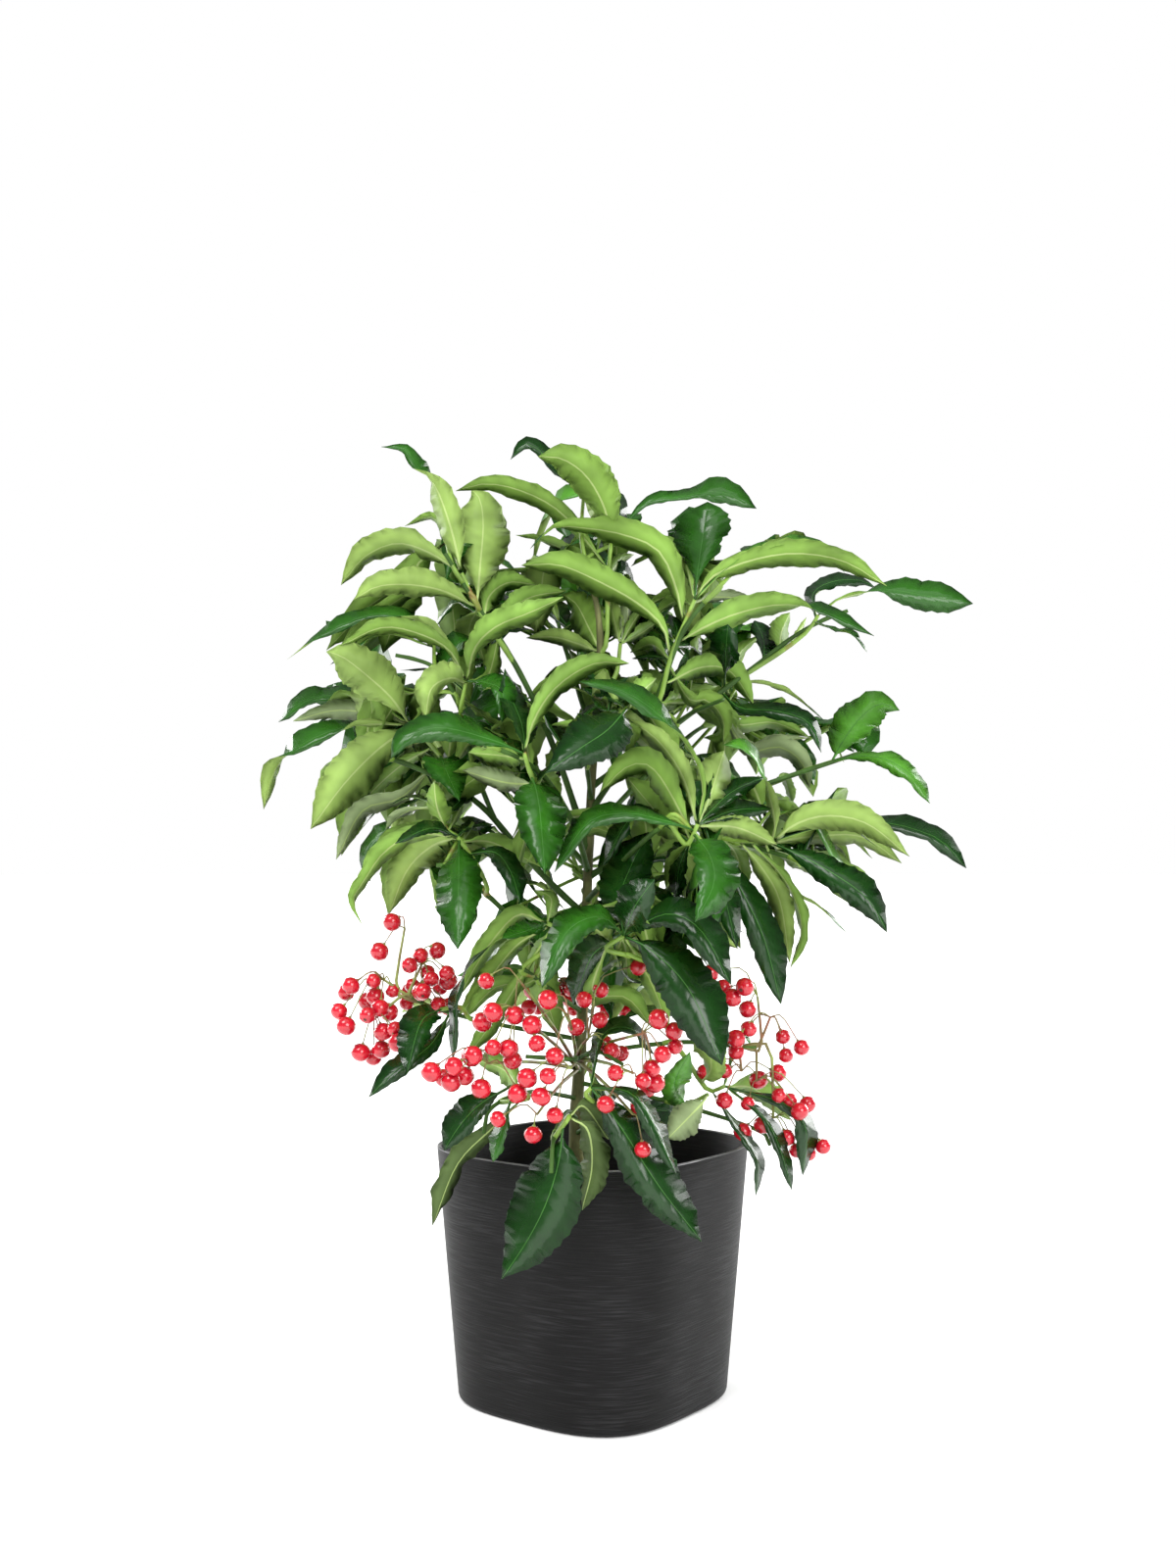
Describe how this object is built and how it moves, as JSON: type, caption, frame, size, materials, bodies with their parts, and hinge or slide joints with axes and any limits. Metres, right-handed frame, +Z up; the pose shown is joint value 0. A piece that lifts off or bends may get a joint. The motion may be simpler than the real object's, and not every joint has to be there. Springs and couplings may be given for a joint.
{
  "type": "potted ardisia",
  "caption": "Potted coral berry shrub in a rounded-square tapered planter, with arching glossy leaves, a branching woody stem and hanging clusters of red berries.",
  "frame": {"origin": "middle of the planter's flat underside", "axes": "+Z up along the planter's axis, -Y towards the side that the shrub shows best from, +X to that viewer's right"},
  "size_m": [0.371, 0.3127, 0.486],
  "materials": {
    "pot": "satin charcoal, finely brushed round",
    "soil": "loose dark potting mix",
    "bark": "rough grey-green bark",
    "green_bark": "smooth green young bark",
    "leaf": "glossy dark green above, pale matte green below",
    "berry": "smooth waxy coral red"
  },
  "bodies": {
    "root": {"berries_back": "berry", "berries_front": "berry", "berries_front_right": "berry", "berries_left": "berry", "berries_right": "berry", "bough_back_left": "green_bark", "bough_back_low": "green_bark", "bough_back_right": "green_bark", "bough_back_top": "green_bark", "bough_centre_front": "green_bark", "bough_far_right": "green_bark", "bough_front_low": "green_bark", "bough_fruit_back": "green_bark", "bough_fruit_front": "green_bark", "bough_fruit_front_right": "green_bark", "bough_fruit_left": "green_bark", "bough_fruit_right": "green_bark", "bough_left_front": "green_bark", "bough_left_high": "green_bark", "bough_left_inner": "green_bark", "bough_left_low": "green_bark", "bough_left_mid": "green_bark", "bough_right_front": "green_bark", "bough_right_high": "green_bark", "bough_right_low": "green_bark", "bough_right_tip": "green_bark", "bough_skirt_back": "green_bark", "bough_skirt_front": "green_bark", "bough_skirt_front_right": "green_bark", "bough_skirt_left": "green_bark", "bough_skirt_right": "green_bark", "bough_top_left": "green_bark", "bough_top_right": "green_bark", "foliage_back_left": "leaf", "foliage_back_low": "leaf", "foliage_back_right": "leaf", "foliage_back_top": "leaf", "foliage_centre_front": "leaf", "foliage_far_right": "leaf", "foliage_front_low": "leaf", "foliage_left_front": "leaf", "foliage_left_high": "leaf", "foliage_left_inner": "leaf", "foliage_left_low": "leaf", "foliage_left_mid": "leaf", "foliage_right_front": "leaf", "foliage_right_high": "leaf", "foliage_right_low": "leaf", "foliage_right_tip": "leaf", "foliage_top_centre": "leaf", "foliage_top_left": "leaf", "foliage_top_right": "leaf", "main_stem": "bark", "pot": "pot", "skirt_back": "leaf", "skirt_front": "leaf", "skirt_front_right": "leaf", "skirt_left": "leaf", "skirt_right": "leaf", "soil": "soil"}
  },
  "joints": []
}
